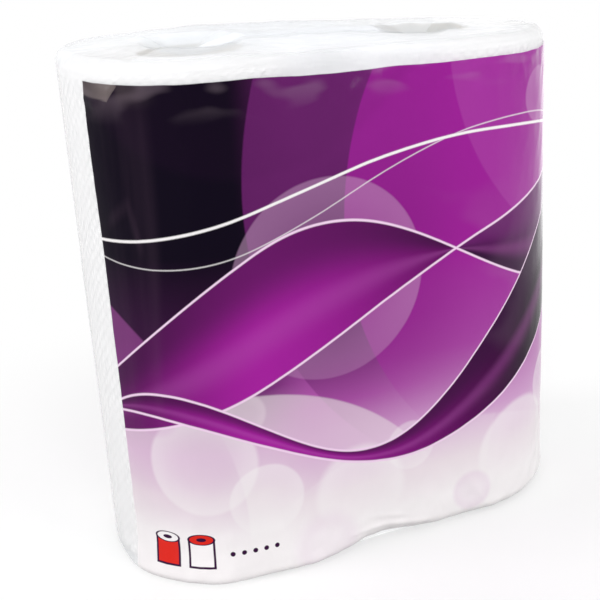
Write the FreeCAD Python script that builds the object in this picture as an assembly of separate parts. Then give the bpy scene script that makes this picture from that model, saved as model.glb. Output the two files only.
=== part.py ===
"""A two-roll pack of kitchen paper towels.

Two paper rolls stand side by side on a cardboard core each, pressed together, and one sheet
of film is wrapped round both. The film is a sleeve with a lap seam up the back. Its ends are
folded in over the roll ends, and the front flap is welded down over the others. Over each
core the film is drawn into the mouth of the tube as a shallow dimple.

Frame: +Z up, +X towards the right-hand roll, -Y towards the printed front. The origin is the
middle of the foot. All lengths are in millimetres and all angles in degrees.
"""

import math
import os

import FreeCAD
import Part

# Paper rolls
ROLL_DIAMETER = 112.0
ROLL_HEIGHT = 225.0
ROLL_FLAT_DEPTH = 0.6  # how far each roll is pressed flat where the two meet
SHEET_THICKNESS = 0.4  # one turn of embossed towel: the step at the loose end
TAIL_ANGLE = {"left": 215.0, "right": 35.0}  # where the loose end lies, from +X

# Cardboard cores
CORE_BORE = 44.0
CORE_WALL = 0.6

# Film
FILM_THICKNESS = 0.2
FILM_CLEARANCE = 0.2  # between the film and the rolls
END_EDGE_RADIUS = 5.0  # the rolls' outer edges, rounded by the film's pull
DIMPLE_DEPTH = 5.0
DIMPLE_RIM_RADIUS = 6.0
DIMPLE_RIM_CLEARANCE = 0.5  # between the dimple and the bore it hangs in
FLAP_OVERLAP = 12.0  # how far the front flap reaches past the middle
FLAP_DIMPLE_MARGIN = 1.0  # left clear of the flap round each dimple
SEAM_WIDTH = 14.0

# Worked out from the above
ROLL_RADIUS = ROLL_DIAMETER / 2
ROLL_AXIS_X = ROLL_RADIUS - ROLL_FLAT_DEPTH
CORE_RADIUS = CORE_BORE / 2 + CORE_WALL
WRAP_RADIUS = ROLL_RADIUS + FILM_CLEARANCE  # inside of the film
FILM_RADIUS = WRAP_RADIUS + FILM_THICKNESS  # outside of the film
FILM_LOW = FILM_THICKNESS  # the sleeve stands on its folded flap
WRAP_LOW = FILM_LOW + FILM_THICKNESS
ROLL_LOW = WRAP_LOW + FILM_CLEARANCE
ROLL_HIGH = ROLL_LOW + ROLL_HEIGHT
WRAP_HIGH = ROLL_HIGH + FILM_CLEARANCE
FILM_HIGH = WRAP_HIGH + FILM_THICKNESS
WRAP_EDGE_RADIUS = END_EDGE_RADIUS + FILM_CLEARANCE
FILM_EDGE_RADIUS = WRAP_EDGE_RADIUS + FILM_THICKNESS
DIMPLE_RADIUS = CORE_BORE / 2 - DIMPLE_RIM_CLEARANCE

SIDES = {"left": -1, "right": 1}
UP = FreeCAD.Vector(0, 0, 1)


def vector(x, y, z=0.0):
    return FreeCAD.Vector(x, y, z)


def polar(centre, radius, angle):
    """The point at a radius and an angle in degrees from a centre, in the XY plane."""
    turn = math.radians(angle)
    return centre + vector(radius * math.cos(turn), radius * math.sin(turn))


def arc(centre, radius, start, end):
    """The arc in the XY plane from one angle to another, through the angle between them."""
    angles = (start, (start + end) / 2, end)
    return Part.Arc(*[polar(centre, radius, angle) for angle in angles]).toShape()


def stadium_face(radius, z):
    """A flat face: the outline of a belt round two circles of this radius, one on each roll."""
    right = vector(ROLL_AXIS_X, 0, z)
    left = vector(-ROLL_AXIS_X, 0, z)
    edges = [
        arc(right, radius, -90, 90),
        Part.makeLine(polar(right, radius, 90), polar(left, radius, 90)),
        arc(left, radius, 90, 270),
        Part.makeLine(polar(left, radius, 270), polar(right, radius, 270)),
    ]
    return Part.Face(Part.Wire(edges))


def stadium_prism(radius, low, high, edge_radius):
    """A solid between two heights with that outline, its top and bottom edges rounded."""
    solid = stadium_face(radius, low).extrude(UP * (high - low))
    level = [edge for edge in solid.Edges if edge.BoundBox.ZLength < edge_radius / 2]
    return solid.makeFillet(edge_radius, level)


def wound_section(side):
    """One roll's outline: two half turns, the second drawn in by half a sheet at its end.

    The radius falls by one sheet over the last turn, so the loose end is a step one sheet high.
    """
    axis = vector(SIDES[side] * ROLL_AXIS_X, 0)
    tail = TAIL_ANGLE[side]
    inner_centre = polar(axis, SHEET_THICKNESS / 2, tail + 180)
    inner_radius = ROLL_RADIUS - SHEET_THICKNESS / 2
    edges = [
        arc(inner_centre, inner_radius, tail, tail + 180),
        arc(axis, ROLL_RADIUS, tail + 180, tail + 360),
        Part.makeLine(polar(axis, ROLL_RADIUS, tail), polar(inner_centre, inner_radius, tail)),
    ]
    return Part.Face(Part.Wire(edges))


def rounded_cylinder(side):
    """The round solid that a roll is trimmed to, with softened outer edges."""
    base = vector(SIDES[side] * ROLL_AXIS_X, 0, ROLL_LOW)
    solid = Part.makeCylinder(ROLL_RADIUS, ROLL_HEIGHT, base)
    rims = [edge for edge in solid.Edges if edge.BoundBox.ZLength < END_EDGE_RADIUS / 2]
    return solid.makeFillet(END_EDGE_RADIUS, rims)


def paper_roll(side):
    """The wound paper, as one solid: bored for its core and flat where it meets the other."""
    sign = SIDES[side]
    base = vector(sign * ROLL_AXIS_X, 0, ROLL_LOW)
    section = wound_section(side)
    section.translate(vector(0, 0, ROLL_LOW))
    wound = section.extrude(UP * ROLL_HEIGHT).common(rounded_cylinder(side))
    bored = wound.cut(Part.makeCylinder(CORE_RADIUS, ROLL_HEIGHT, base))
    corner = vector(-ROLL_DIAMETER if sign > 0 else 0, -ROLL_DIAMETER, 0)
    beyond = Part.makeBox(ROLL_DIAMETER, 2 * ROLL_DIAMETER, ROLL_HIGH + ROLL_LOW, corner)
    return bored.cut(beyond)


def core_tube(side):
    """The cardboard tube in a roll, as long as the roll and cut off flush with it."""
    base = vector(SIDES[side] * ROLL_AXIS_X, 0, ROLL_LOW)
    outside = Part.makeCylinder(CORE_RADIUS, ROLL_HEIGHT, base)
    return outside.cut(Part.makeCylinder(CORE_BORE / 2, ROLL_HEIGHT, base))


def dimple(side, level, up):
    """The film over one core, drawn into the bore: a rim arc and a cup arc, tangent at alpha.

    level is the height of the film's outer face there, and up is 1 on the top and -1 below.
    The two radii add up to span, because span * (1 - cos(alpha)) is the depth and
    span * sin(alpha) is the dimple's radius.
    """
    span = (DIMPLE_RADIUS**2 + DIMPLE_DEPTH**2) / (2 * DIMPLE_DEPTH)
    alpha = math.degrees(math.asin(DIMPLE_RADIUS / span))
    x = SIDES[side] * ROLL_AXIS_X
    rim_centre = vector(DIMPLE_RADIUS, -DIMPLE_RIM_RADIUS)
    cup_centre = vector(0, span - DIMPLE_RIM_RADIUS - DIMPLE_DEPTH)

    def face_arcs(inset):
        """The cup arc and the rim arc of the face that lies this far inside the outer one."""
        rim = DIMPLE_RIM_RADIUS - inset
        cup = span - rim
        return [
            arc(cup_centre, cup, -90, -90 + alpha),
            arc(rim_centre, rim, 90 + alpha, 90),
        ]

    outer = face_arcs(0)
    inner = face_arcs(FILM_THICKNESS)
    ends = [
        Part.makeLine(vector(DIMPLE_RADIUS, 0), vector(DIMPLE_RADIUS, -FILM_THICKNESS)),
        Part.makeLine(
            vector(0, -DIMPLE_DEPTH - FILM_THICKNESS), vector(0, -DIMPLE_DEPTH)
        ),
    ]
    profile = Part.Face(Part.Wire(Part.__sortEdges__(outer + inner + ends)))
    profile.rotate(vector(0, 0), vector(1, 0), 90)
    cup = profile.revolve(vector(0, 0), UP, 360)
    if up < 0:
        cup.rotate(vector(0, 0), vector(1, 0), 180)
    cup.translate(vector(x, 0, level))
    return cup


def front_flap(low):
    """The folded front flap on one end: a tapering sheet one film thick.

    Its slanting edges run at 45 degrees from the round ends towards the roll axes, and its
    free edge lies past the middle, where it is welded down.
    """
    flat_radius = FILM_RADIUS - FILM_EDGE_RADIUS
    root_x = ROLL_AXIS_X + flat_radius
    tip_x = ROLL_AXIS_X - FLAP_OVERLAP
    corners = [
        vector(-root_x, -flat_radius, low),
        vector(root_x, -flat_radius, low),
        vector(tip_x, FLAP_OVERLAP, low),
        vector(-tip_x, FLAP_OVERLAP, low),
    ]
    outline = Part.Face(Part.makePolygon(corners + corners[:1]))
    flap = outline.common(stadium_face(flat_radius, low)).extrude(UP * FILM_THICKNESS)
    for sign in SIDES.values():
        mouth = vector(sign * ROLL_AXIS_X, 0, low)
        hole = Part.makeCylinder(DIMPLE_RADIUS + FLAP_DIMPLE_MARGIN, FILM_THICKNESS, mouth)
        flap = flap.cut(hole)
    return flap


def back_seam():
    """The lap seam: a second layer of film up the middle of the back."""
    low = FILM_LOW + FILM_EDGE_RADIUS
    height = FILM_HIGH - FILM_EDGE_RADIUS - low
    corner = vector(-SEAM_WIDTH / 2, FILM_RADIUS, low)
    return Part.makeBox(SEAM_WIDTH, FILM_THICKNESS, height, corner)


def film_wrap():
    """The whole wrap as one sheet: sleeve, ends, dimples, welded flaps and seam."""
    outside = stadium_prism(FILM_RADIUS, FILM_LOW, FILM_HIGH, FILM_EDGE_RADIUS)
    inside = stadium_prism(WRAP_RADIUS, WRAP_LOW, WRAP_HIGH, WRAP_EDGE_RADIUS)
    wrap = outside.cut(inside)
    for side, sign in SIDES.items():
        for level, up in ((FILM_HIGH, 1), (FILM_LOW, -1)):
            start = min(level, level - up * FILM_THICKNESS)
            mouth = vector(sign * ROLL_AXIS_X, 0, start)
            wrap = wrap.cut(Part.makeCylinder(DIMPLE_RADIUS, FILM_THICKNESS, mouth))
            wrap = wrap.fuse(dimple(side, level, up))
    for low in (0, FILM_HIGH):
        wrap = wrap.fuse(front_flap(low))
    return wrap.fuse(back_seam()).removeSplitter()


def main():
    os.makedirs("parts", exist_ok=True)
    nodes = {"film_wrap": film_wrap()}
    for side in SIDES:
        nodes["paper_roll_" + side] = paper_roll(side)
        nodes["core_tube_" + side] = core_tube(side)
    for name, shape in nodes.items():
        shape.exportStep(os.path.join("parts", name + ".step"))
        print(name, "solids", len(shape.Solids), "valid", shape.isValid(), round(shape.Volume, 1))


main()
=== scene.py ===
"""The finished look of a two-roll pack of kitchen paper towels in printed film.

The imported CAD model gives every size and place. The film's skin, flaps and lap seam stand for
the CAD film, and the wound paper and the board for the CAD rolls and cores. Each surface is
worked out as whole arrays from two parameters. Lengths are in metres, +Z is up, +X is towards
the right-hand roll and -Y towards the printed front.
"""

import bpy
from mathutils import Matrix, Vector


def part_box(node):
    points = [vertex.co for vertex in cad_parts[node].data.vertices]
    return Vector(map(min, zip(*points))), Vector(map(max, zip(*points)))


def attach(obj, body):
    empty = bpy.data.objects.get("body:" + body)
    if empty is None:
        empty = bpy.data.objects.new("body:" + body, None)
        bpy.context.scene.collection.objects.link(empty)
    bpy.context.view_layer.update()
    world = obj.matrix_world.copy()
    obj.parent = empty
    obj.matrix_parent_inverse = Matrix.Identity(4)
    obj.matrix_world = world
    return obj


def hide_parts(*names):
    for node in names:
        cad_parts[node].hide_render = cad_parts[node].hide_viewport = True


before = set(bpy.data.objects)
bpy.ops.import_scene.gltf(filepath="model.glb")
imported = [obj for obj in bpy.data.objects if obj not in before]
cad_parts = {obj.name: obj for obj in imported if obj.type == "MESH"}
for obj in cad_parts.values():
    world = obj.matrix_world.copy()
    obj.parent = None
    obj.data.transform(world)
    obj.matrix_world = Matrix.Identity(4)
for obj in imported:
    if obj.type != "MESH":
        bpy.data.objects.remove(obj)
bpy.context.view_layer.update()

import math

import bmesh
import bpy
import numpy as np
from bpy.props import FloatProperty, FloatVectorProperty, PointerProperty
from mathutils import Matrix, Vector

bl_info = {
    "name": "Paper towel pack",
    "version": (1, 0, 0),
    "blender": (4, 5, 0),
    "location": "3D View > Sidebar > Pack",
    "description": "Builds a film-wrapped pack of two paper towel rolls",
    "category": "Mesh",
}

MM = 0.001
ROOT = "root"

# From the CAD frame
FILM_LOW, FILM_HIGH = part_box("film_wrap")
ROLL_LOW, ROLL_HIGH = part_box("paper_roll_right")
CORE_LOW, CORE_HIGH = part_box("core_tube_right")
FILM_RADIUS = -FILM_LOW[1]
ROLL_AXIS = FILM_HIGH[0] - FILM_RADIUS
PACK_TOP = FILM_HIGH[2]
ROLL_RADIUS = ROLL_HIGH[1]
CORE_RADIUS = CORE_HIGH[1]
ARC_LENGTH = math.pi * FILM_RADIUS  # one round end of the sleeve
GIRTH = 4 * ROLL_AXIS + 2 * ARC_LENGTH
SIDES = {"left": -1, "right": 1}

# The film's gloss. Its low specular level keeps the dark inks deep.
FILM_GLOSS = {"IOR": 1.45, "Specular IOR Level": 0.07}

# Scene-linear tints that shading mixes in: painted reflections on the print, painted shade over
# the cores, in the towel's hollows and between its turns, and the board's own fibres, flecks and
# butt line
PAINTED_REFLECTION_IN_FOLD = (0.46, 0.38, 0.36)
PAINTED_REFLECTION_ON_LEFT = (0.46, 0.27, 0.42)
PAINTED_REFLECTION_IN_PATCHES = (0.58, 0.44, 0.54)
PAINTED_REFLECTION_ON_RIGHT = (0.85, 0.78, 0.84)
PAINTED_SHADE_OVER_CORE = (0.66, 0.74, 0.79)
PAINTED_SHADE_IN_HOLLOWS = (0.62, 0.61, 0.59)
PAINTED_SHADE_BETWEEN_TURNS = (0.60, 0.59, 0.56)
BOARD_FIBRE = (0.62, 0.55, 0.45)
BOARD_FLECK = (0.16, 0.12, 0.09)
BOARD_BUTT = (0.18, 0.14, 0.10)

# What the studio and its floor give back to the pack, where white is 1
STUDIO_GREY = 0.42
FLOOR_HALF_WIDTH = 12.0


def length(name, default, description):
    return FloatProperty(name=name, description=description, default=default, unit="LENGTH")


def tint(name, red, green, blue, description):
    """A colour given by its display values, kept as the scene-linear values that shaders use."""
    return FloatVectorProperty(
        name=name,
        description=description,
        default=[linear(value) for value in (red, green, blue)],
        subtype="COLOR",
        size=3,
    )


def linear(value):
    """The scene-linear value of one display value from 0 to 255."""
    share = value / 255
    return share / 12.92 if share <= 0.04045 else ((share + 0.055) / 1.055) ** 2.4


class PackSizes(bpy.types.PropertyGroup):
    """The sizes that a user would change."""

    edge_radius: length("Edge radius", 5.4 * MM, "Rounding of the film over the rolls' ends")
    layer_gap: length("Layer gap", 0.2 * MM, "Height of one layer of film over the one below")
    dimple_radius: length("Dimple radius", 24.0 * MM, "Where the film starts to sink into a core")
    dimple_depth: length("Dimple depth", 6.0 * MM, "How far the film sinks over a core")
    valley_depth: length("Valley depth", 3.4 * MM, "How far the film is drawn in between the rolls")
    lean: length("Lean", 5.2 * MM, "How far the film is puffed up over the left roll's back")
    flap_overlap: length("Flap overlap", 12 * MM, "How far each end flap reaches past the middle")
    seam_width: length("Seam width", 14 * MM, "Width of the lap seam up the back")
    panel_half_width: length("Panel half width", 122 * MM, "From the middle to the print's side")
    panel_margin: length("Panel margin", 8.6 * MM, "Bare film above the print")
    emboss_pitch: length("Emboss pitch", 5.5 * MM, "Spacing of the towel's pattern")
    board_wall: length("Board wall", 0.6 * MM, "Thickness of a core's board")


class PackColours(bpy.types.PropertyGroup):
    """The colours that a user would change."""

    aubergine: tint("Aubergine", 8, 0, 20, "Darkest ink")
    plum: tint("Plum", 52, 14, 56, "Dark ink")
    purple: tint("Purple", 104, 32, 104, "Middle ink")
    magenta: tint("Magenta", 168, 33, 160, "Bright ink")
    orchid: tint("Orchid", 186, 92, 180, "Light ink")
    lilac: tint("Lilac", 214, 166, 210, "Pale ink")
    blush: tint("Blush", 239, 226, 233, "Palest ink")
    white_ink: tint("White ink", 252, 248, 249, "White under-print")
    scarlet: tint("Scarlet", 226, 44, 34, "Sign of the two rolls")
    outline: tint("Outline", 246, 216, 242, "Thin line round the main ribbon")
    bare_film: tint("Bare film", 248, 250, 253, "Milky tint of film with no print")
    paper: tint("Paper", 250, 249, 247, "Towel")
    board: tint("Board", 178, 167, 152, "Core board")
    floor: tint("Floor", 250, 250, 250, "Studio floor")


# ---- Shader maths ----


class Wire:
    """An output socket of a shader tree. Arithmetic on it adds Math nodes."""

    def __init__(self, tree, socket):
        self.tree = tree
        self.socket = socket

    def math(self, operation, *others):
        values = dict(enumerate((self, *others)))
        return self.tree.node("Math", {"operation": operation}, values)

    def __add__(self, other):
        return self.math("ADD", other)

    def __sub__(self, other):
        return self.math("SUBTRACT", other)

    def __mul__(self, other):
        return self.math("MULTIPLY", other)

    def __truediv__(self, other):
        return self.math("DIVIDE", other)

    def __rsub__(self, other):
        return self.tree.node("Math", {"operation": "SUBTRACT"}, {0: other, 1: self})

    def __rtruediv__(self, other):
        return self.tree.node("Math", {"operation": "DIVIDE"}, {0: other, 1: self})

    def __abs__(self):
        return self.math("ABSOLUTE")

    __radd__ = __add__
    __rmul__ = __mul__

    def sine(self):
        return self.math("SINE")

    def most(self, other):
        return self.math("MAXIMUM", other)

    def ease(self, start, end, low=0.0, high=1.0):
        """A smooth step from low to high as the wire goes from start to end."""
        values = {"From Min": start, "From Max": end, "To Min": low, "To Max": high}
        kind = {"interpolation_type": "SMOOTHSTEP"}
        return self.tree.node("MapRange", kind, {"Value": self, **values})

    def mix(self, under, over):
        """A colour between two, over taking the wire's share from 0 to 1."""
        values = {0: self, 6: full(under), 7: full(over)}
        return self.tree.node("Mix", {"data_type": "RGBA"}, values, 2)


class Tree:
    """The node tree of a material or a world, with one method that adds any node."""

    def __init__(self, owner):
        owner.use_nodes = True
        self.owner = owner
        self.nodes = owner.node_tree.nodes
        self.links = owner.node_tree.links
        self.nodes.clear()

    def node(self, kind, settings=None, sockets=None, output=0):
        """Adds a node, sets it, fills its sockets with values or wires, and gives one output."""
        made = self.nodes.new("ShaderNode" + kind)
        for name, value in (settings or {}).items():
            if name == "stops":
                self.set_stops(made.color_ramp.elements, value)
            else:
                setattr(made, name, value)
        for name, value in (sockets or {}).items():
            if isinstance(value, Wire):
                self.links.new(value.socket, made.inputs[name])
            else:
                made.inputs[name].default_value = value
        return Wire(self, made.outputs[output]) if made.outputs else None

    @staticmethod
    def set_stops(elements, stops):
        for _ in range(len(stops) - len(elements)):
            elements.new(1.0)
        for element, (place, colour) in zip(elements, stops):
            element.position = place
            element.color = (*colour, 1.0)

    def coordinates(self, name):
        """The three axes of the object's own coordinates, or the two of its UV map, in mm."""
        if name == "Object":
            place = self.place()
        else:
            place = self.node("UVMap", {"uv_map": name})
        scaled = self.node("VectorMath", {"operation": "SCALE"}, {0: place, "Scale": 1 / MM})
        return [self.node("SeparateXYZ", None, {0: scaled}, axis) for axis in range(3)]

    def place(self):
        return self.node("TexCoord", output="Object")

    def noise(self, place, scale, detail=2.0, roughness=0.5, dimensions="3D"):
        values = {"Vector": place, "Scale": scale, "Detail": detail, "Roughness": roughness}
        return self.node("TexNoise", {"noise_dimensions": dimensions}, values)

    def crinkle(self, place, scale):
        """Sharp-edged folds: how far noise is from its middle value."""
        return abs(self.noise(place, scale, 4.0, 0.55) - 0.5)

    def surface(self, colour, roughness, height, depth, others=None):
        """Ends the tree in one Principled surface, raised by its height times a depth."""
        raised = self.node("Bump", None, {"Height": height, "Distance": depth, "Strength": 1.0})
        sockets = {"Base Color": colour, "Roughness": roughness, "Normal": raised}
        shaded = self.node("BsdfPrincipled", None, {**sockets, **(others or {})})
        self.node("OutputMaterial", None, {"Surface": shaded})
        return self.owner


def new_material(name):
    return Tree(bpy.data.materials.new(name))


def distance(x, y):
    """The length of the vector (x, y)."""
    return (x * x + y * y).math("SQRT")


def flat_noise(x, y, detail, roughness):
    """Noise over two lengths, each already scaled."""
    place = x.tree.node("CombineXYZ", None, {0: x, 1: y, 2: 0.0})
    return x.tree.noise(place, 1.0, detail, roughness, "2D")


def full(colour):
    """A colour with its alpha, or the wire as it is."""
    return colour if isinstance(colour, Wire) or len(colour) == 4 else (*colour, 1.0)


# ---- Print ----


def disc(across, up, radius, squash=1.0):
    """1 inside an ellipse and 0 outside. Its height is its width times the squash."""
    return distance(across, up / squash).ease(radius + 0.2, radius - 0.2)


def wave(u, base, slope, size, wavelength, start):
    """The height of a curve: a straight line plus a sine that crosses it at its start."""
    return u * slope + base + ((u - start) * (2 * math.pi / wavelength)).sine() * size


def line(v, curve, half_width):
    """1 on a curve drawn as a thin line with soft edges."""
    return abs(v - curve).ease(half_width + 0.35, half_width - 0.35)


def ground(u, v, ink):
    """The panel's ground: dark at the top left, magenta on the right, near white at the foot.

    Each of three columns is a vertical blend that starts white, through inks given with their
    heights in mm, and the columns blend sideways.
    """
    white, blush, lilac, purple = ink.white_ink, ink.blush, ink.lilac, ink.purple
    left = ((24, white), (42, blush), (62, lilac), (90, purple), (114, ink.plum), (150, ink.aubergine))
    middle = ((14, white), (32, blush), (52, lilac), (76, ink.orchid))
    middle += ((108, purple), (150, ink.plum), (190, purple), (216, purple))
    right = ((16, white), (34, blush), (56, lilac), (90, ink.orchid))
    right += ((136, ink.magenta), (216, ink.magenta))
    top = PACK_TOP / MM
    columns = []
    for stops in (left, middle, right):
        stops = [(height / top, colour) for height, colour in ((0, white), *stops)]
        columns.append(v.tree.node("ValToRGB", {"stops": stops}, {0: v / top}))
    first = u.ease(-62, -30).mix(columns[0], columns[1])
    return u.ease(-20, 56).mix(first, columns[2])


def veils_and_edge_highlight(u, v, ink, colour):
    """Sheer shapes over the ground: wide arcs, then soft discs that drift along the foot.

    Each row is a disc's middle and radius in mm, ink, strength, hollow and softness. A disc is
    strongest at its edge and fades to its hollow towards its middle. The high arcs fade out
    below the panel's middle, and the low ones near its foot.
    """
    white, lilac = ink.white_ink, ink.lilac
    high_arcs = (
        (92, 168, 150, ink.purple, 0.85, 0.3, 0.5),
        (128, 150, 142, ink.magenta, 0.60, 0.2, 0.5),
        (150, 226, 112, ink.orchid, 0.26, 0.1, 0.5),
        (-52, 268, 88, ink.plum, 0.08, 0.3, 3.0),
        (-22, 132, 44, lilac, 0.30, 0.6, 0.5),
    )
    low_arcs = (
        (-186, 26, 120, ink.orchid, 0.34, 0.1, 0.8),
        (-70, -24, 112, ink.blush, 0.50, 0.1, 0.6),
        (30, -96, 150, white, 0.24, 0.2, 1.0),
        (150, 20, 96, lilac, 0.20, 0.3, 0.6),
    )
    discs = (
        (-84, 58, 24, white, 0.46, 0.55, 1.2),
        (-57, 38, 17, white, 0.46, 0.60, 0.8),
        (-104, 84, 13, lilac, 0.30, 0.70, 2.0),
        (-64, 80, 9, ink.blush, 0.34, 0.70, 1.0),
        (-12, 30, 22, white, 0.52, 0.55, 2.5),
        (14, 46, 12, white, 0.34, 0.70, 0.8),
        (-30, 8, 15, lilac, 0.18, 0.60, 5.0),
        (76, 28, 26, white, 0.52, 0.50, 1.6),
        (104, 54, 15, white, 0.40, 0.70, 0.8),
        (46, 14, 10, lilac, 0.22, 0.70, 1.6),
        (92, 196, 13, lilac, 0.30, 0.60, 0.8),
        (112, 176, 8, lilac, 0.34, 0.60, 0.8),
    )
    groups = ((high_arcs, v.ease(44, 120)), (low_arcs, v.ease(12, 64)), (discs, 1))
    for rows, shown in groups:
        for across, up, radius, shade, strength, hollow, soft in rows:
            reach = distance(u - across, v - up)
            edge = reach.ease(radius + soft, radius - soft)
            fade = reach.ease(radius, radius * 0.35, 1.0, hollow)
            colour = (edge * fade * (shown * strength)).mix(colour, shade)
    # Painted highlight: the right edge fades towards lilac
    return (u.ease(106, 124) * 0.35).mix(colour, lilac)


def ribbon(u, v, ink, under, first, second):
    """A silk ribbon between two curves that cross: it turns over at each crossing.

    Where the second curve is the higher its bright side shows, magenta that deepens to
    aubergine on the right and to plum at the left end, and elsewhere its dark side.
    """
    low, high = first.math("MINIMUM", second), first.most(second)
    inside = (v - low).ease(-0.3, 0.3) * (high - v).ease(-0.3, 0.3)
    across = v.ease(low, high + 0.01)
    bright = u.ease(-70, 96).mix(ink.magenta, ink.aubergine)
    bright = (u.ease(-52, -120) * 0.75).mix(bright, ink.plum)
    bright = (across.ease(0.35, 1.0) * 0.7).mix(bright, ink.plum)
    dark = across.ease(0.0, 1.0).mix(ink.plum, ink.purple)
    fill = (second - first).ease(-0.2, 0.2).mix(dark, bright)
    fill = (abs(across - 0.3).ease(0.26, 0.0) * 0.22).mix(fill, ink.orchid)
    colour = inside.mix(under, fill)
    edges = line(v, first, 0.55).most(line(v, second, 0.55))
    return edges.mix(colour, ink.outline)


def front_print_and_edge_highlight(u, v, ink):
    """The front panel: ground, sheer shapes with a painted highlight at the right edge, two thin
    lines, two ribbons and the roll sign.
    """
    colour = veils_and_edge_highlight(u, v, ink, ground(u, v, ink))
    upper = wave(u, 172, 0.03, 12, 330, -34)
    lower = wave(u, 168, 0.05, 18, 300, -10)
    threads = line(v, upper, 0.6).most(line(v, lower, 0.25) * 0.7)
    colour = threads.mix(colour, ink.white_ink)
    first, second = wave(u, 116, 0.34, 8, 300, 0), wave(u, 128, 0.12, 32, 290, -102)
    colour = ribbon(u, v, ink, colour, first, second)
    first, second = wave(u, 66, 0.10, 26, 270, 84), wave(u, 84, 0.26, 34, 230, 62)
    colour = ribbon(u, v, ink, colour, first, second)
    return roll_sign(u, v, ink, colour)


def roll_sign(u, v, ink, colour):
    """A plain sign of two rolls near the foot, each an upright outline under an oval end.

    Each is drawn as shapes inside one another: the body's outline and coat, then the end's
    outline, coat and core. A row of five dots runs on from them, one in each cell of its pace.
    """
    scarlet, white = ink.scarlet, ink.white_ink
    for middle, coat, end_coat in ((-104, scarlet, white), (-88, white, scarlet)):
        across, up = abs(u - middle), abs(v - 15.5)
        for inset, shade in ((0, ink.plum), (1, coat)):
            body = across.ease(6.3 - inset, 5.9 - inset)
            body = body * up.ease(7.2 - inset, 6.8 - inset)
            colour = body.mix(colour, shade)
        for radius, shade in ((6.3, ink.plum), (5.3, end_coat), (2.2, ink.plum)):
            colour = disc(u - middle, v - 22, radius, 0.42).mix(colour, shade)
    along, pace = u + 64.5, 5
    cell = along.math("WRAP", pace / 2, -pace / 2)
    row = abs(along).ease(pace * 2.5 + 0.1, pace * 2.5 - 0.1)
    return (disc(cell, v - 15, 1.1) * row).mix(colour, ink.plum)


def painted_fold_reflection(u, v, under):
    """Painted reflection on the print in the fold at its top left corner, where the film stands
    off the paper.

    The fold is a flag that hangs from the print's top: its lower edge falls slowly to a tip and
    turns steeply up. The painted reflection thickens towards the tip, with a painted highlight
    along the lower edge, and thins out to the fold's right.
    """
    share = (u + 122) / 17.5
    lip = (share * -1.2 + 212.9).most(share * 20 + 196.4)
    inside = (v - lip).ease(-0.5, 0.5) * share.ease(1.08, 1.0)
    fold_reflection = inside * share.ease(0.1, 0.9, 0.17, 0.34)
    # Painted highlight along the fold's lower edge, and painted reflection to the fold's right
    glint = abs(v - lip).ease(0.7, 0.1) * share.ease(0.5, 0.8)
    glint = glint * share.ease(1.1, 1.0) * 0.30
    beside = v.ease(208, 216) * share.ease(2.1, 1.2) * share.ease(0.9, 1.1) * 0.07
    return fold_reflection.most(glint).most(beside).mix(under, PAINTED_REFLECTION_IN_FOLD)


def painted_slack_film_reflections(u, v, under):
    """Faint painted reflections on the print, where the film isn't tight against the paper.

    Along both sides they are noise stretched upwards, on a line that sways with the height. The
    left streak ends in a brighter band, and two soft creases meet in it as painted highlights.
    Under the print's top there are soft painted reflections where noise is high, and a smoky one
    with a wavering left edge lies across the right half.
    """
    sway = u + (v * (2 * math.pi / 260)).sine() * 3
    streaks = flat_noise(sway * 0.11, v * 0.009, 2.0, 0.5)
    left = sway.ease(-92, -98) * streaks.ease(0.3, 0.7, 0.002, 0.018)
    left = left + abs(sway + 97).ease(4, 0) * 0.010
    rising = abs(v - u * 0.73 - 249).ease(5.0, 0.0) * abs(u + 111).ease(9, 2)
    falling = abs(u + 74.5 + v * 0.174).ease(2.6, 0.0) * abs(v - 163).ease(15, 3)
    left = left + (rising + falling) * streaks * 0.05
    right = sway.ease(102, 123) * streaks.ease(0.25, 0.75, 0.06, 0.26)
    patches = flat_noise(u * 0.05, v * 0.12, 0.6, 0.4)
    patches = patches.ease(0.50, 0.74) * v.ease(202, 215) * 0.11
    waver = flat_noise(u * 0.025, v * 0.035, 1.5, 0.45) * 90
    smoky_reflection = (u + waver).ease(94, 110) * abs(v - 116).ease(66, 28) * 0.045
    # Painted reflections and highlights mixed over the print
    colour = left.mix(under, PAINTED_REFLECTION_ON_LEFT)
    colour = patches.most(smoky_reflection).mix(colour, PAINTED_REFLECTION_IN_PATCHES)
    return right.mix(colour, PAINTED_REFLECTION_ON_RIGHT)


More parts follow.
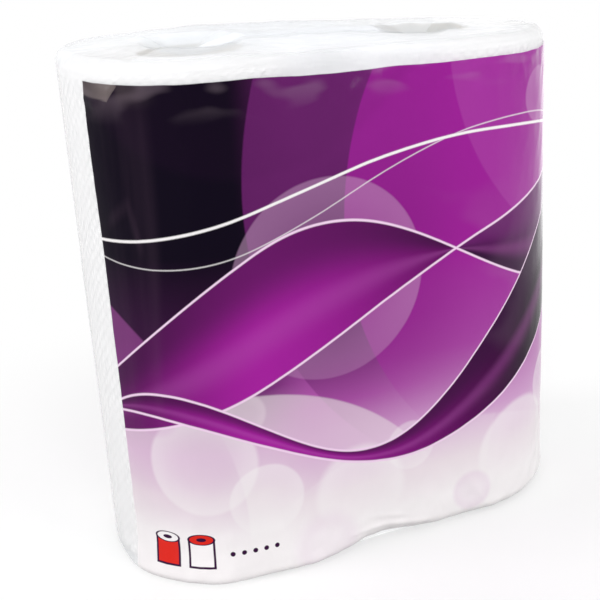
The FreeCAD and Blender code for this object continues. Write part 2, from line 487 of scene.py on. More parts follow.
def film_material(sizes, ink):
    """Glossy film: printed and opaque on the panels, milky and see-through elsewhere.

    The print is laid out twice round the girth, for the front and the back, with painted
    reflections over it. Its edges weave a little. The milk thickens towards the ends and where the
    film spans the waist. Bare film over the cores gets a painted cool shade.
    """
    tree = new_material("film_print")
    u, v, _ = tree.coordinates("sheet")
    x, y, _ = tree.coordinates("Object")
    place = tree.place()
    quarter_girth = GIRTH / 4 / MM
    across = u.math("WRAP", quarter_girth, -quarter_girth)
    # The print, with painted reflections and highlights over it
    print_and_painted_reflections = painted_slack_film_reflections(across, v, front_print_and_edge_highlight(across, v, ink))
    print_and_painted_reflections = painted_fold_reflection(u, v, print_and_painted_reflections)

    weave = (tree.noise(place, 60.0) - 0.5) * 0.5
    panel_top = (PACK_TOP - sizes.panel_margin) / MM
    panels = (abs(across) - sizes.panel_half_width / MM + weave).ease(0.25, -0.25)
    printed = panels * (v + weave).ease(panel_top + 0.25, panel_top - 0.25)
    printed = printed * v.ease(-2.0, 2.0)

    from_middle = abs(v - PACK_TOP / MM / 2)
    over_core = distance(abs(x) - ROLL_AXIS / MM, y).ease(25, 16)
    milk = from_middle.ease(112, 132, 0.46, 0.54) - over_core * 0.02
    milk = milk + abs(across).ease(52, 16) * 0.28
    colour = printed.mix(ink.bare_film, print_and_painted_reflections)
    # Painted cool shade over the cores' mouths, on bare film only
    colour = (over_core * (1 - printed) * 0.5).mix(colour, PAINTED_SHADE_OVER_CORE)
    stretched = tree.node("Mapping", None, {"Vector": place, "Scale": (1.0, 1.0, 0.35)})
    folds = tree.crinkle(stretched, 70.0) * (from_middle.ease(70, 118) * 0.8 + 0.12)
    height = folds + tree.noise(place, 420.0, 2.0) * 0.05
    roughness = tree.noise(place, 45.0, 3.0) * 0.10 + 0.11
    others = {"Alpha": printed * (1 - milk) + milk, **FILM_GLOSS}
    return tree.surface(colour, roughness, height, 0.8 * MM, others)


def flap_material(ink):
    """Bare film on bare film: thinner milk, the same gloss, and fine ribs along the weld."""
    tree = new_material("film_bare")
    _, v, _ = tree.coordinates("sheet")
    place = tree.place()
    weld = abs(v).ease(6.5, 5.5)
    ribs = (v * (2 * math.pi / 1.4)).sine() * weld
    mottle = tree.noise(place, 45.0, 3.0)
    height = tree.crinkle(place, 80.0) * 1.2 + ribs * 0.10
    colour = (mottle * 0.2).mix(ink.bare_film, ink.white_ink)
    others = {"Alpha": weld * 0.25 + 0.15, **FILM_GLOSS}
    return tree.surface(colour, mottle * 0.12 + 0.11, height, 0.7 * MM, others)


def paper_material(sizes, ink):
    """Two-ply towel: a quilted emboss on the side, and the edges of the turns on the ends, both with
    painted shade in their hollows.

    The quilting is the product of two sines along the diagonals, and its raised dots are where
    that is far from zero. The turns are noise of the distance from the roll's axis.
    """
    tree = new_material("towel_paper")
    u, v, _ = tree.coordinates("sheet")
    x, y, z = tree.coordinates("Object")
    place = tree.place()
    half_pace = emboss_pace(sizes) * MM / 2
    quilt = ((u + v) * half_pace).sine() * ((u - v) * half_pace).sine()
    dots = abs(quilt).ease(0.15, 0.6)
    fibre = tree.noise(place, 1500.0, 4.0, 0.7)
    turns = flat_noise(distance(abs(x) - ROLL_AXIS / MM, y) * 2.6, z * 0.02, 3.0, 0.7)
    half_tall = PACK_TOP / 2 / MM
    on_end = abs(z - half_tall).ease(half_tall - 2.2, half_tall - 1.2)
    shade = (fibre * 0.25).mix(ink.paper, ink.blush)
    # Painted shade in the emboss's sunk hollows
    shade = ((1 - dots) * (1 - on_end) * 0.32).mix(shade, PAINTED_SHADE_IN_HOLLOWS)
    # Painted shade between the turns on the rolls' ends
    shade = (on_end * turns.ease(0.62, 0.35) * 0.22).mix(shade, PAINTED_SHADE_BETWEEN_TURNS)
    height = dots * 0.5 * (1 - on_end) + turns * on_end * 0.7 + fibre * 0.12
    return tree.surface(shade, fibre * 0.1 + 0.85, height, 0.6 * MM, {"Sheen Weight": 0.15})


def board_material(ink):
    """Spirally wound board: a helical butt line, fibres and flecks.

    The butt line is where a slanted sum of height and girth is half way between whole paces.
    """
    tree = new_material("core_board")
    u, v, _ = tree.coordinates("sheet")
    place = tree.place()
    lead = (v - u * 0.9) / 62.0
    phase = lead - lead.math("FLOOR")
    butt = abs(phase - 0.5).ease(0.012, 0.004)
    fibre = tree.noise(place, 700.0, 5.0, 0.7)
    flecks = tree.noise(place, 1300.0, 1.0).ease(0.66, 0.74)
    shade = (fibre * 0.5).mix(ink.board, BOARD_FIBRE)
    shade = (flecks * 0.4).mix(shade, BOARD_FLECK)
    shade = (butt * 0.6).mix(shade, BOARD_BUTT)
    height = fibre * 0.3 - butt * 0.8
    return tree.surface(shade, fibre * 0.15 + 0.75, height, 0.25 * MM)


# ---- Shapes ----


def emboss_pace(sizes):
    """Radians per metre of the towel's pattern, set so that it closes round a roll."""
    return round(2 * math.pi * ROLL_RADIUS / sizes.emboss_pitch) / ROLL_RADIUS


def ripple(points, wavelength, seed):
    """Smooth noise of about unit size: sine waves of random heading, phase and near length."""
    waves = 24
    chance = np.random.default_rng(seed)
    heading = chance.normal(size=(waves, 3))
    heading /= np.linalg.norm(heading, axis=1, keepdims=True)
    pace = 2 * np.pi / (wavelength * chance.uniform(0.7, 1.5, waves))
    phase = chance.uniform(0, 2 * np.pi, waves)
    return np.sin(points @ (heading * pace[:, None]).T + phase).sum(-1) * math.sqrt(2 / waves)


def joined(*axes):
    """Points whose axes are the given arrays or numbers."""
    return np.stack(np.broadcast_arrays(*axes), -1)


def bell(value, width):
    """A bell curve: exp of minus the square of the value over the width."""
    return np.exp(-((value / width) ** 2))


def step(value, start, end):
    """A smooth step from 0 at start to 1 at end."""
    share = np.clip((value - start) / (end - start), 0, 1)
    return share * share * (3 - 2 * share)


def ridge(u, v, start, end, width):
    """A straight fold: its height falls off as exp(-distance / width), and fades at its ends."""
    start, end = np.array(start), np.array(end)
    along = end - start
    span = np.hypot(*along)
    along = along / span
    x, y = u - start[0], v - start[1]
    travel = x * along[0] + y * along[1]
    away = np.abs(y * along[0] - x * along[1])
    fade = np.sin(np.pi * np.clip(travel / span, 0, 1)) ** 0.7
    return np.exp(-away / width) * fade


def core_distance(x, y):
    """Distance to the nearer roll's axis."""
    return np.hypot(np.abs(x) - ROLL_AXIS, y)


def film_points(s):
    """Feet on the line between the roll axes, and outward directions, for girth lengths s.

    s runs from the middle of the back, past the left roll, the front and the right roll, and
    back. A point of the film's plan is its foot plus a radius times its outward direction.
    """
    size = np.abs(s)
    turn = np.clip((size - ROLL_AXIS) / FILM_RADIUS, 0, np.pi)
    on_back = np.clip(size - ROLL_AXIS - ARC_LENGTH, 0, None)
    foot = np.sign(s) * (np.minimum(size, ROLL_AXIS) - on_back)
    return foot, np.sign(s) * np.sin(turn), -np.cos(turn)


def end_relief(x, y, sizes, seed, waist):
    """How far the film on an end stands in from its flat plane, over the whole end.

    It sums a cup over each core, a dip between the rolls at the front and back that is a share
    of the valley's depth, shallow radial tucks round each half round and a slow random swell.
    """
    reach = core_distance(x, y)
    share = np.clip(1 - (reach / sizes.dimple_radius) ** 2, 0, None)
    cup = sizes.dimple_depth * share**1.4
    turn = np.arctan2(y, np.abs(x) - ROLL_AXIS)
    spokes = np.sin(7 * turn + 1.3 * np.sign(x) + seed) + 0.6 * np.sin(11 * turn + 2.1 * seed)
    drawn = bell(reach - sizes.dimple_radius * 0.8, 9 * MM)
    cup = cup + 0.28 * MM * spokes * drawn * step(reach, 2 * MM, 12 * MM)
    edge = np.abs(y) / FILM_RADIUS
    dip = sizes.valley_depth * waist * bell(x, 17 * MM) * edge**3
    outer = np.clip((np.abs(x) - ROLL_AXIS) / FILM_RADIUS, 0, 1)
    tucks = np.sin(19 * turn + seed) + 0.7 * np.sin(31 * turn + 2 * seed)
    tucks = 0.07 * MM * np.abs(tucks) * outer * step(reach, 26 * MM, 46 * MM)
    place = joined(x, y, seed * 0.1)
    swell = 0.22 * MM * ripple(place, 38 * MM, 10 + seed)
    swell = swell + 0.05 * MM * ripple(place, 13 * MM, 20 + seed)
    return cup + dip + tucks + swell


def planes(sizes):
    """The heights of the skin's flat foot, clear of the flaps under it, and of its flat top."""
    return 1.5 * sizes.layer_gap, PACK_TOP - sizes.layer_gap


def top_height(x, y, sizes):
    """The height of the film's skin over the rolls' upper ends.

    To the flat plane less the end relief it adds a lean, up over the left roll and down over
    the right one: a falling tanh of x, which goes from the front one to the fuller one behind
    by a smooth step in y. The back rim is frilled.
    """
    behind = sizes.lean * (0.26 - np.tanh((x - 28 * MM) / (52 * MM))) / 1.26
    before = sizes.lean * (0.06 - 0.45 * np.tanh((x + 35 * MM) / (51 * MM)))
    lean = before + (behind - before) * step(y, -46 * MM, 22 * MM)
    frill = 0.20 * MM * bell(y - 52 * MM, 9 * MM) * ripple(joined(x, 0, 0), 21 * MM, 5)
    return planes(sizes)[1] + lean + frill - end_relief(x, y, sizes, 1, 0.1)


def foot_height(x, y, sizes):
    """The height of the film's skin under the rolls, never below its flat foot."""
    return planes(sizes)[0] + np.maximum(end_relief(x, y, sizes, 2, 0.4), 0)


def film_profile(sizes):
    """Radius and height of the skin's profile, from the middle of the foot to that of the top.

    It runs out along the foot, up a quarter round, up the wall, in a quarter round and in
    along the top. A sine gathers the wall's rings towards its ends. The third array is the
    length along the profile, equal to z on the wall.
    """
    edge = sizes.edge_radius
    low, high = planes(sizes)
    flat = FILM_RADIUS - edge
    turn = np.linspace(0, np.pi / 2, 9)
    wall = np.linspace(0, 1, 80)
    wall = low + edge + (high - low - 2 * edge) * (wall - 0.11 * np.sin(2 * np.pi * wall))
    foot_run = flat * np.linspace(0, 1, 26)[:-1] ** 0.9
    top_run = flat * (1 - np.linspace(0, 1, 34)[1:])
    radius, height, travel = path(
        (foot_run, low),
        (flat + edge * np.sin(turn)[:-1], low + edge * (1 - np.cos(turn))[:-1]),
        (FILM_RADIUS, wall),
        (flat + edge * np.cos(turn)[1:], high - edge * (1 - np.sin(turn))[1:]),
        (top_run, high),
    )
    start = len(foot_run) + len(turn) - 1
    return radius, height, travel - travel[start] + height[start]


def path(*parts):
    """Radius, height and length so far along a profile given in parts of (radius, height)."""
    parts = [np.broadcast_arrays(*part) for part in parts]
    radius, height = (np.concatenate(part) for part in zip(*parts))
    steps = np.hypot(np.diff(radius), np.diff(height))
    return radius, height, np.concatenate([[0], np.cumsum(steps)])


def carried(around, radius, height, travel):
    """Grids of (profile, round it) of the places round the piece and of its profile's arrays."""
    around, radius = np.meshgrid(around, radius)
    height = np.broadcast_to(height[:, None], around.shape)
    return around, radius, height, np.broadcast_to(travel[:, None], around.shape)


def wall_creases(s, v):
    """Folds in the wall: some by chance, some listed ridges, and three soft pillows.

    Seven by chance run in from near each corner of the two faces. A listed ridge is its start
    and end (u, v), height and width in mm. A pillow is a bell curve, given by its middle (u, v),
    its width and height on the wall and its thickness in mm.
    """
    total = np.zeros_like(s)
    chance = np.random.default_rng(7)
    for corner in (-1, 1):
        for face in (0, 1):
            middle = corner * (GIRTH / 2 - 78 * MM if face else 78 * MM)
            for upper in (0, 1):
                for _ in range(7):
                    at = middle + chance.normal(0, 22 * MM)
                    lean = chance.uniform(-0.9, 0.9)
                    size = chance.uniform(9, 34) * MM
                    tall = chance.uniform(0.10, 0.30) * MM
                    root = PACK_TOP - 3 * MM if upper else 4 * MM
                    tip = root + (-size if upper else size)
                    total += tall * ridge(s, v, (at, root), (at + lean * size, tip), 1.3 * MM)
    by_hand = (
        (-122, 205, -102, 219, 0.30, 1.2),
        (-124, 212, -110, 209, 0.60, 1.2),
        (-112, 207, -103, 221, 0.75, 1.2),
        (-86, 221, -62, 199, 0.22, 1.2),
        (-74, 214, -58, 219, 0.30, 1.2),
        (-66, 207, -50, 212, 0.22, 1.2),
        (-119, 162, -104, 173, 0.30, 1.4),
        (-105, 175, -101, 152, 0.30, 1.4),
        (-99, 60, -95, 214, 0.35, 4.0),
        (-92, 8, -86, 96, 0.25, 4.0),
        (108, 40, 112, 214, 0.35, 4.0),
        (-20, 8, 26, 4, 0.95, 1.2),
        (-10, 14, 16, 8, 0.45, 1.2),
    )
    for *ends, tall, width in by_hand:
        ends = np.array(ends) * MM
        total += tall * MM * ridge(s, v, ends[:2], ends[2:], width * MM)
    pillows = ((-113, 214, 7, 4, 1.3), (-70, 213, 7, 4, 0.35), (66, 214, 9, 4, 0.4))
    for middle, level, width, tall, thick in pillows:
        across, up = (s / MM - middle) / width, (v / MM - level) / tall
        total += thick * MM * np.exp(-(across**2) - up**2)
    return total


def film_surface(s, radius, height, travel, sizes):
    """Points on the film for girth lengths s, profile radii and heights, and profile lengths.

    A point is its foot on the line between the roll axes, plus the radius times the outward
    direction, plus the height. Near an end the end's relief moves it up or down. On the wall,
    folds and valleys move it in or out, but never into a roll. Round the left roll's foot the
    film is slack: it bulges by a bell curve of the height, and its rounded edge stands out and
    down by the sine of twice its turn.
    """
    foot, out_x, out_y = film_points(s)
    x, y, z = foot + radius * out_x, radius * out_y, height

    near_top = step(height, PACK_TOP - 30 * MM, PACK_TOP - sizes.edge_radius)
    near_foot = step(height, 22 * MM, sizes.edge_radius)
    low, high = planes(sizes)
    top_shift = top_height(x, y, sizes) - high
    foot_shift = foot_height(x, y, sizes) - low

    on_wall = step(radius, FILM_RADIUS - sizes.edge_radius - 12 * MM, FILM_RADIUS)
    flat_side = bell(foot, 16 * MM) * (np.abs(out_y) > 0.999)
    toward_top = np.exp(-np.clip(PACK_TOP - height, 0, None) / (24 * MM))
    toward_foot = np.exp(-height / (20 * MM))
    valley = sizes.valley_depth * flat_side * (toward_top + 0.9 * toward_foot + 0.12)
    place = joined(x, y, height * 0.45)
    slack = 0.10 * MM + 0.22 * MM * (toward_top + toward_foot)
    waves = ripple(place, 34 * MM, 31) * slack
    waves = waves + ripple(place * [1, 1, 2.2], 9 * MM, 32) * slack * 0.35
    creases = wall_creases(s, travel)
    across = ROLL_AXIS - np.abs(foot)
    room = ROLL_RADIUS - np.sqrt(np.clip(ROLL_RADIUS**2 - across**2, 0, None))
    outward = np.maximum((waves + creases - valley) * on_wall, -room - 0.2 * MM)
    slack_foot = step(s, -142 * MM, -118 * MM) * step(s, -8 * MM, -42 * MM)
    slack_foot = slack_foot * (1 - 0.55 * bell(s + 62 * MM, 13 * MM))
    bulge = 2.6 * MM * bell(height, 13 * MM)
    turned = np.clip((radius - FILM_RADIUS) / sizes.edge_radius + 1, 0, 1)
    square = 1.8 * MM * turned * np.sqrt(1 - turned**2) * (height < PACK_TOP / 2)
    outward = outward + slack_foot * (bulge * on_wall + square)
    x, y = x + outward * out_x, y + outward * out_y
    z = z + top_shift * near_top + foot_shift * near_foot - slack_foot * square
    return joined(x, y, z)


def film_skin(sizes):
    """Points and sheet coordinates of the closed skin, as grids of (profile, girth)."""
    flat = np.linspace(-ROLL_AXIS, ROLL_AXIS, 131)
    bend = ROLL_AXIS + np.linspace(0, ARC_LENGTH, 191)
    back = ROLL_AXIS + ARC_LENGTH + np.linspace(0, ROLL_AXIS, 66)
    s = np.concatenate([-back[::-1], -bend[::-1][1:], flat[1:], bend[1:], back[1:]])
    s, radius, height, travel = carried(s, *film_profile(sizes))
    return film_surface(s, radius, height, travel, sizes), joined(s, travel)


def chosen(context):
    """The sizes and the colours that the scene holds."""
    return context.scene.pack_sizes, context.scene.pack_colours


def add_object(name, data):
    made = bpy.data.objects.new(name, data)
    bpy.context.collection.objects.link(made)
    return made


def mesh_from_grid(name, points, sheet, closed=False):
    """A mesh of quads over a grid of points, with a UV map of each point's place on its sheet.

    Points that fall together, as at a seam or a pole, are joined.
    """
    rows, columns = points.shape[:2]
    number = np.arange(rows * columns).reshape(rows, columns)
    corners = [number[:-1, :-1], number[:-1, 1:], number[1:, 1:], number[1:, :-1]]
    faces = np.stack(corners, -1).reshape(-1, 4)
    data = bpy.data.meshes.new(name)
    data.from_pydata(points.reshape(-1, 3), [], faces.tolist())
    flat = sheet.reshape(-1, 2)[faces.ravel()].astype(np.float32)
    data.uv_layers.new(name="sheet").data.foreach_set("uv", flat.ravel())
    if closed:
        shell = bmesh.new()
        shell.from_mesh(data)
        bmesh.ops.remove_doubles(shell, verts=shell.verts, dist=0.002 * MM)
        bmesh.ops.recalc_face_normals(shell, faces=shell.faces)
        shell.to_mesh(data)
        shell.free()
    data.polygons.foreach_set("use_smooth", np.ones(len(data.polygons), bool))
    data.update()
    return add_object(name, data)


def finish_piece(piece, material, slot, *nodes):
    """Gives a piece its material and its body, and hides the CAD parts that it stands for.

    Film is thin and clear enough to cast no shadow on what it wraps.
    """
    piece.data.materials.append(material)
    piece.visible_shadow = slot != "film"
    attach(piece, ROOT)
    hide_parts(*nodes)


def end_flap(sizes, surface, side, layer, seed):
    """Points and sheet coordinates of one end flap, from the film's long edge to its free edge.

    At a distance q past the middle it reaches sideways to the end's rim or, further on, to the
    roll's axis less q, a slant of 45 degrees. It lies on the end's skin, raised by its layer,
    and goes into it along the rim, where the two are one film. Its free edges wander and curl.
    """
    up = 1 if surface is top_height else -1
    flat = FILM_RADIUS - sizes.edge_radius + 0.6 * MM
    across, along = np.meshgrid(np.linspace(-1, 1, 221), np.linspace(0, 1, 90))
    past = along * (flat + sizes.flap_overlap) - flat
    rim = np.sqrt(np.clip(flat**2 - np.minimum(past, 0) ** 2, 0, None))
    half = ROLL_AXIS + np.where(past < -flat * math.sqrt(0.5), rim, -past)
    x, y = across * half, side * past
    place = joined(x, y, seed)
    inside = flat - np.where(np.abs(x) > ROLL_AXIS, core_distance(x, y), np.abs(y))
    inside = np.where(side * y > 0, flat, inside)
    clear = step(inside, 0, 5 * MM)
    x = x + 0.5 * MM * ripple(place, 22 * MM, seed) * np.abs(across) * clear
    y = y + side * 0.35 * MM * ripple(place, 26 * MM, seed + 1) * step(along, 0.8, 1)
    slant = np.exp(-(1 - np.abs(across)) * half / (2.2 * MM))
    free = np.maximum(slant, np.exp(-(1 - along) / 0.04)) * clear
    curl = np.clip(ripple(place, 18 * MM, seed + 2), 0, None) * free
    lift = (layer * sizes.layer_gap + 0.15 * MM) * clear - 0.15 * MM
    lift = lift + (0.35 if up > 0 else 0.10) * MM * curl
    z = surface(x, y, sizes) + up * lift
    if up < 0:
        z = np.maximum(z, 0.05 * MM * (3 - layer))
    return joined(x, y, z), joined(x, y)


def build_pair(name, node, shape, material, slot, sizes):
    """Builds a piece on each roll's axis, from a shape that takes the sign of its side."""
    for side, sign in SIDES.items():
        piece = mesh_from_grid(name + side, *shape(sign, sizes), closed=True)
        finish_piece(piece, material, slot, node + side)


def thicken(piece, thickness):
    """Gives a sheet its thickness."""
    shell = piece.modifiers.new("thickness", "SOLIDIFY")
    shell.thickness = thickness
    shell.offset = 0


def back_seam(sizes):
    """Points and sheet coordinates of the lap seam: a strip up the middle of the back.

    It follows the film's surface one layer out. One edge dips into the film below, and the
    other is free and wavy. The print on it has slipped a little against the print beside it.
    """
    across, along = np.meshgrid(np.linspace(-1, 1, 25), np.linspace(0, 1, 170))
    low, high = sizes.edge_radius + 0.4 * MM, PACK_TOP - sizes.edge_radius - 0.4 * MM
    height = low + (high - low) * along
    place = joined(0, 0, height)
    free_edge = np.clip(across, 0, 1) * (0.5 * MM * ripple(place, 40 * MM, 61))
    x = sizes.seam_width / 2 * across + free_edge
    s = np.where(x > 0, 1, -1) * (GIRTH / 2 - np.abs(x))
    flutter = 0.10 * MM * np.clip(ripple(place, 24 * MM, 62), -0.5, 2) * step(across, 0.6, 1)
    lift = sizes.layer_gap * (step(across, -1, -0.8) * 1.15 - 0.15) + flutter
    points = film_surface(s, FILM_RADIUS + lift, height, height, sizes)
    slip = np.array([1.6 * MM, -1.1 * MM])
    return points, joined(GIRTH / 2 - x, height) + slip


class PACK_OT_film_skin(bpy.types.Operator):
    """Builds the film's closed skin, with its print, dimples, valleys and folds."""

    bl_idname = "pack.film_skin"
    bl_label = "Film skin"

    def execute(self, context):
        sizes, ink = chosen(context)
        piece = mesh_from_grid("film_skin", *film_skin(sizes), closed=True)
        finish_piece(piece, film_material(sizes, ink), "film", "film_wrap")
        return {"FINISHED"}


class PACK_OT_end_flaps(bpy.types.Operator):
    """Builds the folded flaps, two on each end."""

    bl_idname = "pack.end_flaps"
    bl_label = "End flaps"

    def execute(self, context):
        sizes, ink = chosen(context)
        material = flap_material(ink)
        flaps = (
            ("flap_top_back", top_height, -1, 1, 41),
            ("flap_top_front", top_height, 1, 2, 44),
            ("flap_foot_back", foot_height, -1, 1, 47),
            ("flap_foot_front", foot_height, 1, 2, 50),
        )
        for name, *form in flaps:
            piece = mesh_from_grid(name, *end_flap(sizes, *form), closed=True)
            thicken(piece, 0.08 * MM)
            finish_piece(piece, material, "film", "film_wrap")
        return {"FINISHED"}


class PACK_OT_rolls(bpy.types.Operator):
    """Builds the wound paper of both rolls."""

    bl_idname = "pack.rolls"
    bl_label = "Paper rolls"

    def execute(self, context):
        sizes, ink = chosen(context)
        paper = paper_material(sizes, ink)
        build_pair("towel_roll_", "paper_roll_", roll_surface, paper, "paper", sizes)
        return {"FINISHED"}


def roll_surface(sign, sizes):
    """Points and sheet coordinates of one wound roll, as a profile carried round its axis.

    The profile is a closed loop: up the bore, out over the top turns, down the side with
    softened edges, and in over the foot turns. The side is sunk between raised diamonds,
    which are the product of two sines along the two diagonals.
    """
    low, high = ROLL_LOW[2], ROLL_HIGH[2]
    edge = sizes.edge_radius - 0.4 * MM
    turn = np.linspace(0, np.pi / 2, 7)
    flat = ROLL_RADIUS - edge
    rings = np.linspace(CORE_RADIUS, flat, 41)
    wall = np.linspace(low + edge, high - edge, 171)
    profile = path(
        (CORE_RADIUS, np.linspace(low, high, 12)),
        (rings[1:], high),
        (flat + edge * np.sin(turn)[1:], high - edge + edge * np.cos(turn)[1:]),
        (ROLL_RADIUS, wall[::-1][1:]),
        (flat + edge * np.cos(turn)[1:], low + edge - edge * np.sin(turn)[1:]),
        (rings[::-1][1:], low),
    )
    angle, radius, height, travel = carried(np.linspace(0, 2 * np.pi, 321), *profile)
    half_pace = emboss_pace(sizes) / 2
    u = radius * angle
    quilt = np.sin((u + travel) * half_pace) * np.sin((u - travel) * half_pace)
    sunk = (1 - step(np.abs(quilt), 0.15, 0.6)) * (radius > ROLL_RADIUS - 0.01 * MM)
    reach = radius - 0.4 * MM * sunk * step(np.minimum(height - low, high - height), edge, 2 * edge)
    x = sign * ROLL_AXIS + reach * np.cos(angle)
    y = reach * np.sin(angle)
    on_end = step(radius, CORE_RADIUS, CORE_RADIUS + 3 * MM)
    on_end = on_end * step(radius, ROLL_RADIUS, ROLL_RADIUS - 3 * MM)
    uneven = 0.12 * MM * ripple(joined(x, y, height), 16 * MM, 71)
    uneven = uneven + 0.08 * MM * np.sin(radius / (0.9 * MM))
    inward = np.where(height > PACK_TOP / 2, -1, 1)
    z = under_film(x, y, height + inward * on_end * (0.12 * MM + np.abs(uneven)), sizes)
    x = np.where(sign * x < 0.05 * MM, sign * 0.05 * MM, x)
    return joined(x, y, z), joined(u, travel)


def under_film(x, y, z, sizes):
    """Heights held 0.4 mm inside the film's skin at both ends.

    Where the film is drawn down, the roll's upper edge goes down with it.
    """
    top = top_height(x, y, sizes)
    drawn = np.minimum(top - planes(sizes)[1], 0)
    z = z + drawn * step(z, PACK_TOP - 30 * MM, PACK_TOP - sizes.edge_radius)
    return np.clip(z, foot_height(x, y, sizes) + 0.4 * MM, top - 0.4 * MM)


class PACK_OT_cores(bpy.types.Operator):
    """Builds the two board cores."""

    bl_idname = "pack.cores"
    bl_label = "Board cores"

    def execute(self, context):
        sizes, ink = chosen(context)
        board = board_material(ink)
        build_pair("board_core_", "core_tube_", core_surface, board, "core", sizes)
        return {"FINISHED"}


def core_surface(sign, sizes):
    """Points and sheet coordinates of one core: a thin closed loop carried round the axis."""
    low, high = CORE_LOW[2], CORE_HIGH[2]
    outer, inner = CORE_RADIUS - 0.05 * MM, CORE_RADIUS - sizes.board_wall
    upward, downward = np.linspace(low, high, 40), np.linspace(high, low, 40)
    profile = path((inner, upward), (outer, downward), (inner, [low]))
    angle, radius, height, _ = carried(np.linspace(0, 2 * np.pi, 145), *profile)
    place = joined(radius * np.cos(angle), radius * np.sin(angle), height)
    radius = radius - 0.12 * MM * (1 + ripple(place, 50 * MM, 81)) * 0.5
    x, y = sign * ROLL_AXIS + radius * np.cos(angle), radius * np.sin(angle)
    return joined(x, y, under_film(x, y, height, sizes)), joined(CORE_RADIUS * angle, height)


class PACK_OT_back_seam(bpy.types.Operator):
    """Builds the lap seam up the back."""

    bl_idname = "pack.back_seam"
    bl_label = "Back seam"

    def execute(self, context):
        sizes, _ = chosen(context)
        piece = mesh_from_grid("film_back_seam", *back_seam(sizes))
        thicken(piece, 0.1 * MM)
        finish_piece(piece, bpy.data.materials["film_print"], "film", "film_wrap")
        return {"FINISHED"}


# ---- Stage ----


def light(name, place, target, size, power):
    """Adds a rectangular soft lamp that faces a target."""
    data = bpy.data.lights.new(name, "AREA")
    data.shape = "RECTANGLE"
    data.size, data.size_y = size
    data.energy = power
    lamp = add_object(name, data)
    lamp.location = place
    lamp.rotation_mode = "QUATERNION"
    lamp.rotation_quaternion = (Vector(target) - Vector(place)).to_track_quat("-Z", "Y")
    lamp.visible_camera = False


def seen_directly(tree):
    """1 for camera, mirror and see-through rays, which take the background as plain white."""
    names = ("Is Camera Ray", "Is Glossy Ray", "Is Transmission Ray")
    first, second, third = (tree.node("LightPath", output=name) for name in names)
    return first.most(second).most(third)


def floor_material(ink):
    """A pale floor that keeps the pack's shadow near it, and is plain white further off.

    The light that it gives back to the pack is a plain grey. From below it is clear.
    """
    tree = new_material("studio_floor")
    x, y, _ = tree.coordinates("Object")
    near = distance(x, y).ease(330, 150) * 0.55
    shadowed = tree.node("BsdfDiffuse", None, {"Color": full(ink.floor)})
    white = tree.node("Emission", None, {"Color": (1, 1, 1, 1), "Strength": 1.0})
    shown = tree.node("MixShader", None, {0: near, 1: white, 2: shadowed})
    grey = tree.node("BsdfDiffuse", None, {"Color": (*[STUDIO_GREY] * 3, 1)})
    above = tree.node("MixShader", None, {0: seen_directly(tree), 1: grey, 2: shown})
    clear = tree.node("BsdfTransparent", None, {"Color": (1, 1, 1, 1)})
    below = tree.node("NewGeometry", output="Backfacing")
    made = tree.node("MixShader", None, {0: below, 1: above, 2: clear})
    tree.node("OutputMaterial", None, {"Surface": made})
    return tree.owner


def floor_plane(half, inner):
    """A square floor with an opening well inside the pack's foot, so that light gets under it.

    It is a ring of points from the opening's outline, a belt round two circles of the inner
    radius, out to the square's edge.
    """
    turn = np.linspace(-np.pi, np.pi, 97)[:-1]
    out = joined(np.cos(turn), np.sin(turn))
    opening = out * inner + joined(np.sign(np.round(out[:, 0], 6)) * ROLL_AXIS, 0)
    edge = out / np.abs(out).max(-1, keepdims=True) * half
    ring = np.stack([opening, edge])
    ring = np.concatenate([ring, ring[:, :1]], 1)
    points = np.concatenate([ring, 0 * ring[..., :1]], -1)
    return mesh_from_grid("floor", points[:, ::-1], ring[:, ::-1])


def studio_world():
    """White where it is seen directly, and an even grey light on everything else."""
    tree = Tree(bpy.data.worlds.new("studio"))
    strength = seen_directly(tree) * (1 - STUDIO_GREY) + STUDIO_GREY
    sky = tree.node("Background", None, {"Color": (1, 1, 1, 1), "Strength": strength})
    tree.node("OutputWorld", None, {"Surface": sky})
    return tree.owner


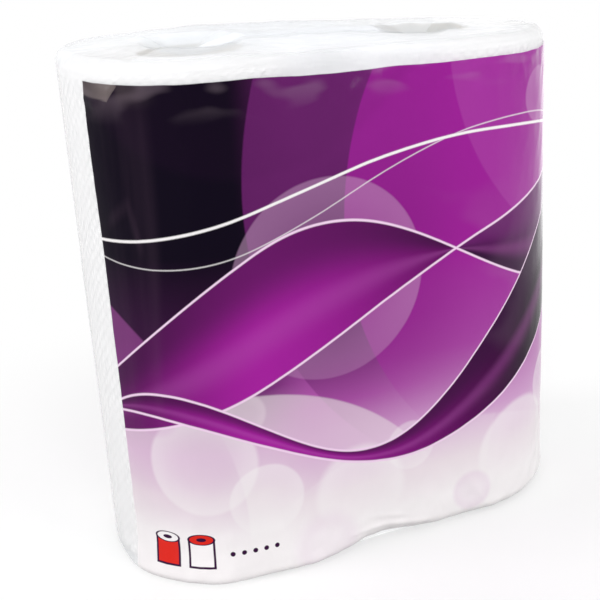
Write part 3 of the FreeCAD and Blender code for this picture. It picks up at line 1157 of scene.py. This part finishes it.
class PACK_OT_stage(bpy.types.Operator):
    """Sets the floor, the soft lamps, the world and the camera."""

    bl_idname = "pack.stage"
    bl_label = "Stage"

    def execute(self, context):
        scene = context.scene
        floor = floor_plane(FLOOR_HALF_WIDTH, FILM_RADIUS - 7 * MM)
        floor.data.materials.append(floor_material(scene.pack_colours))

        target = (0, 0, PACK_TOP / 2)
        light("key", (-0.5, -1.5, 1.1), target, (1.2, 1.2), 14)
        light("overhead", (0.0, 0.3, 1.7), target, (1.4, 1.4), 6.2)
        light("front_window", (0.70, -1.45, 0.50), target, (0.5, 0.35), 5.0)
        light("left_window", (-1.20, 0.25, 0.75), target, (0.45, 0.5), 6.4)
        light("left_card", (-0.38, -0.12, 0.14), (0, -0.12, 0.14), (0.9, 0.28), 0.09)
        light("right_card", (0.42, 0.1, 0.15), (0, 0.1, 0.15), (1.0, 0.3), 0.7)

        scene.world = studio_world()
        set_camera(scene)
        scene.view_settings.view_transform = "Standard"
        return {"FINISHED"}


def set_camera(scene):
    """A camera in front and to the left, a little above the pack and turned a little.

    It is drawn back from its target along a line that rises by the elevation and is turned by
    the azimuth about the upright, and it rolls about that line.
    """
    azimuth, elevation, roll = (math.radians(angle) for angle in (-22.7, 19.2, -3.7))
    away = 0.5259
    target = Vector((-12.45, 0, 104.7)) * MM
    level = Matrix.Rotation(azimuth, 4, "Z") @ Matrix.Rotation(math.pi / 2, 4, "X")
    raised = level @ Matrix.Rotation(-elevation, 4, "X") @ Matrix.Rotation(roll, 4, "Z")
    data = bpy.data.cameras.new("camera")
    data.sensor_width = 36
    data.lens = 66.7
    scene.camera = add_object("camera", data)
    scene.camera.matrix_world = Matrix.Translation(target) @ raised @ Matrix.Translation((0, 0, away))


class PACK_PT_panel(bpy.types.Panel):
    """Lists the operators in the sidebar."""

    bl_idname = "PACK_PT_panel"
    bl_label = "Paper towel pack"
    bl_space_type = "VIEW_3D"
    bl_region_type = "UI"
    bl_category = "Pack"

    def draw(self, context):
        for operator in OPERATORS:
            self.layout.operator(operator.bl_idname)


OPERATORS = (
    PACK_OT_film_skin,
    PACK_OT_end_flaps,
    PACK_OT_back_seam,
    PACK_OT_rolls,
    PACK_OT_cores,
    PACK_OT_stage,
)
CLASSES = (PackSizes, PackColours, *OPERATORS, PACK_PT_panel)


def register():
    for made in CLASSES:
        bpy.utils.register_class(made)
    bpy.types.Scene.pack_sizes = PointerProperty(type=PackSizes)
    bpy.types.Scene.pack_colours = PointerProperty(type=PackColours)


def unregister():
    del bpy.types.Scene.pack_sizes
    del bpy.types.Scene.pack_colours
    for made in reversed(CLASSES):
        bpy.utils.unregister_class(made)


def main():
    """Registers the add-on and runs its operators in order."""
    register()
    for operator in OPERATORS:
        getattr(bpy.ops.pack, operator.bl_idname.removeprefix("pack."))()


if __name__ == "__main__":
    main()
